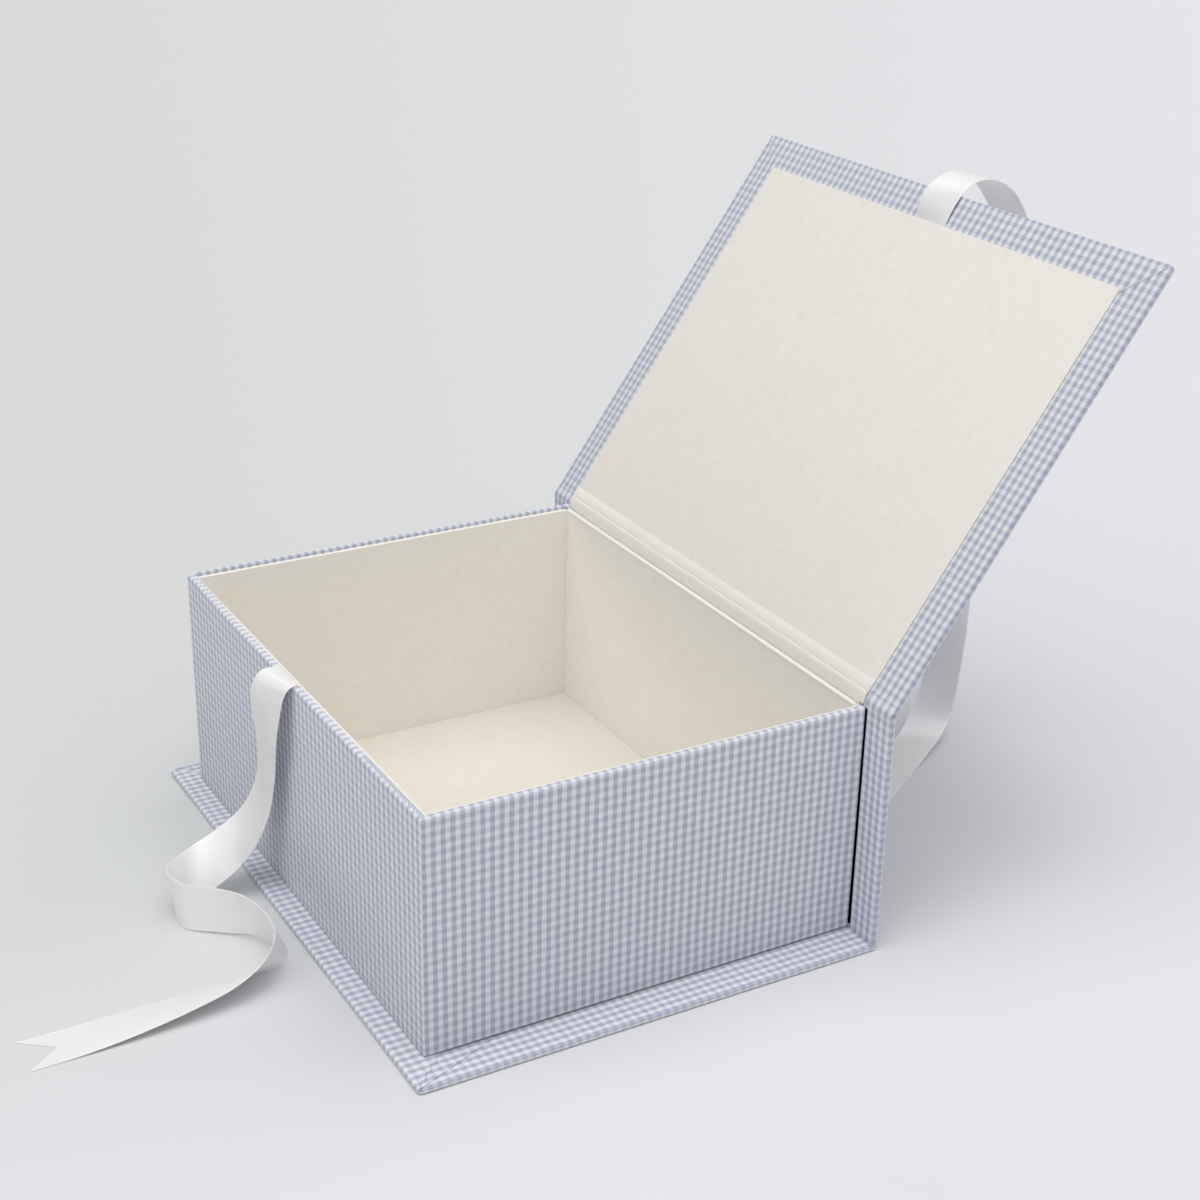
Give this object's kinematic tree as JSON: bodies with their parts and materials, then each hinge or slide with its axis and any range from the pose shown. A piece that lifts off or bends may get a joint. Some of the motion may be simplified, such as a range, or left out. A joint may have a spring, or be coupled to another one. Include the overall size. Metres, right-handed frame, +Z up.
{
  "type": "keepsake box",
  "caption": "Book-style keepsake box: a cloth-covered case of base, spine and hinged lid round a lined tray for papers, closed by satin ribbon ties.",
  "frame": {"origin": "middle of the flat underside of the base", "axes": "+Z up, +Y towards the spine and hinge, -Y the front with the ribbons, X along the spine"},
  "size_m": [0.355, 0.6266, 0.3608],
  "materials": {
    "case_board": "grey binder's board under the cloth, not seen",
    "tray_board": "grey binder's board under the cloth, not seen",
    "gingham_cloth": "fine woven check in soft blue and white, matt",
    "lining_card": "thin card behind the lining cloth, not seen",
    "lining_cloth": "plain cream book cloth, matt",
    "satin_ribbon": "white satin, soft sheen"
  },
  "bodies": {
    "box": {"base_board": "case_board", "spine_board": "case_board", "tray_floor_board": "tray_board", "tray_front_board": "tray_board", "tray_back_board": "tray_board", "tray_left_board": "tray_board", "tray_right_board": "tray_board", "base_cloth": "gingham_cloth", "spine_cloth": "gingham_cloth", "tray_cloth": "gingham_cloth", "hinge_cloth": "gingham_cloth", "lining_front_card": "lining_card", "lining_back_card": "lining_card", "lining_left_card": "lining_card", "lining_right_card": "lining_card", "lining_floor_card": "lining_card", "lining_front_cloth": "lining_cloth", "lining_back_cloth": "lining_cloth", "lining_left_cloth": "lining_cloth", "lining_right_cloth": "lining_cloth", "lining_floor_cloth": "lining_cloth", "hinge_lining": "lining_cloth", "front_ribbon": "satin_ribbon"},
    "lid": {"lid_board": "case_board", "lid_cloth": "gingham_cloth", "lid_liner_card": "lining_card", "lid_liner_cloth": "lining_cloth", "lid_ribbon": "satin_ribbon"}
  },
  "joints": [
    {"name": "lid_hinge", "type": "hinge", "parent": "box", "child": "lid", "pos_m": [0, 0.12973, 0.13793], "axis": [1, 0, 0], "range_deg": [0, 125.4], "deforming": ["hinge_cloth", "hinge_lining", "lid_ribbon"]}
  ]
}
